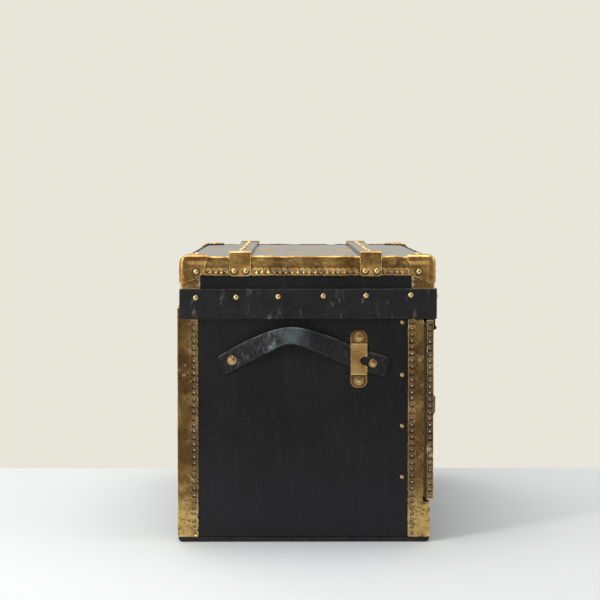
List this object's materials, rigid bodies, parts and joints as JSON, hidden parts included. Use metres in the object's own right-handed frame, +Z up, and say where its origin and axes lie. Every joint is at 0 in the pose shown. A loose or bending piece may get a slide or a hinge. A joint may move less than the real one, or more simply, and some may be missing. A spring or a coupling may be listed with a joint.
{
  "type": "travel trunk",
  "caption": "Boarded travel trunk with a hinged lid, a drop front, sheet brass edging, leather end handles, top slats and a leather valance over the lid seam.",
  "frame": {"origin": "middle of the flat underside of the case", "axes": "+X along the length, towards the right end as seen from the front; front towards -Y; +Z up"},
  "size_m": [0.969, 0.6133, 0.641],
  "materials": {
    "black_cloth": "black coated cloth glued over board, fine weave, worn satin",
    "brass": "aged sheet brass, olive brown with bright worn edges",
    "leather": "black harness leather, glazed and creased",
    "steel": "black japanned steel, worn on its edges",
    "wood": "wood stained black",
    "lining": "plain buff lining cloth"
  },
  "bodies": {
    "case": {"case_bottom_board": "wood", "case_back_board": "black_cloth", "case_left_end_board": "black_cloth", "case_right_end_board": "black_cloth", "front_sill_board": "black_cloth", "front_head_rail": "black_cloth", "case_lining": "lining", "case_brass_back_left": "brass", "case_brass_back_right": "brass", "case_brass_front_left": "brass", "case_brass_front_right": "brass", "left_handle_strap": "leather", "right_handle_strap": "leather", "left_handle_keeper": "brass", "right_handle_keeper": "brass", "lid_hinge_case_leaf_left": "brass", "lid_hinge_case_leaf_right": "brass", "panel_hinge_sill_leaf_left": "brass", "panel_hinge_sill_leaf_right": "brass"},
    "left_tail": {"left_handle_tail": "leather", "left_tail_stud": "brass"},
    "right_tail": {"right_handle_tail": "leather", "right_tail_stud": "brass"},
    "lid": {"lid_top_board": "black_cloth", "lid_front_board": "black_cloth", "lid_back_board": "black_cloth", "lid_left_end_board": "black_cloth", "lid_right_end_board": "black_cloth", "lid_lining": "lining", "lid_band": "leather", "lid_edge_brass": "brass", "lid_cap_front_left": "brass", "lid_cap_front_right": "brass", "lid_cap_back_left": "brass", "lid_cap_back_right": "brass", "lid_slat_front": "wood", "lid_slat_back": "wood", "slat_clamp_front_left": "brass", "slat_clamp_front_right": "brass", "slat_clamp_back_left": "brass", "slat_clamp_back_right": "brass", "lid_hinge_lid_leaf_left": "brass", "lid_hinge_lid_leaf_right": "brass", "hasp_plate": "brass", "latch_strike_left": "brass", "latch_strike_right": "brass"},
    "hasp": {"hasp": "brass"},
    "front_panel": {"door_panel": "black_cloth", "door_lining": "lining", "door_brass_left": "brass", "door_brass_right": "brass", "panel_hinge_panel_leaf_left": "brass", "panel_hinge_panel_leaf_right": "brass", "lock_case": "brass", "latch_base_left": "steel", "latch_base_right": "steel", "front_handle_strap": "leather"},
    "keyhole_cover": {"keyhole_cover": "brass"},
    "left_latch": {"latch_lever_left": "steel"},
    "right_latch": {"latch_lever_right": "steel"}
  },
  "joints": [
    {"name": "lid_hinge", "type": "hinge", "parent": "case", "child": "lid", "pos_m": [0, 0.2846, 0.5218], "axis": [-1, 0, 0], "range_deg": [0, 100]},
    {"name": "front_panel_hinge", "type": "hinge", "parent": "case", "child": "front_panel", "pos_m": [0, -0.2748, 0.0914], "axis": [1, 0, 0], "range_deg": [0, 90]},
    {"name": "hasp_hinge", "type": "hinge", "parent": "lid", "child": "hasp", "pos_m": [0, -0.2937, 0.5225], "axis": [-1, 0, 0], "range_deg": [0, 110]},
    {"name": "left_latch_pivot", "type": "hinge", "parent": "front_panel", "child": "left_latch", "pos_m": [-0.335, -0.2925, 0.466], "axis": [1, 0, 0], "range_deg": [0, 150]},
    {"name": "right_latch_pivot", "type": "hinge", "parent": "front_panel", "child": "right_latch", "pos_m": [0.335, -0.2925, 0.466], "axis": [1, 0, 0], "range_deg": [0, 150]},
    {"name": "keyhole_cover_pivot", "type": "hinge", "parent": "front_panel", "child": "keyhole_cover", "pos_m": [0, -0.2885, 0.4718], "axis": [0, 1, 0], "range_deg": [-90, 90]},
    {"name": "left_handle_slide", "type": "slide", "parent": "case", "child": "left_tail", "axis": [0, 0.9583, 0.2857], "range_m": [0, 0.015]},
    {"name": "right_handle_slide", "type": "slide", "parent": "case", "child": "right_tail", "axis": [0, 0.9583, 0.2857], "range_m": [0, 0.015]}
  ]
}
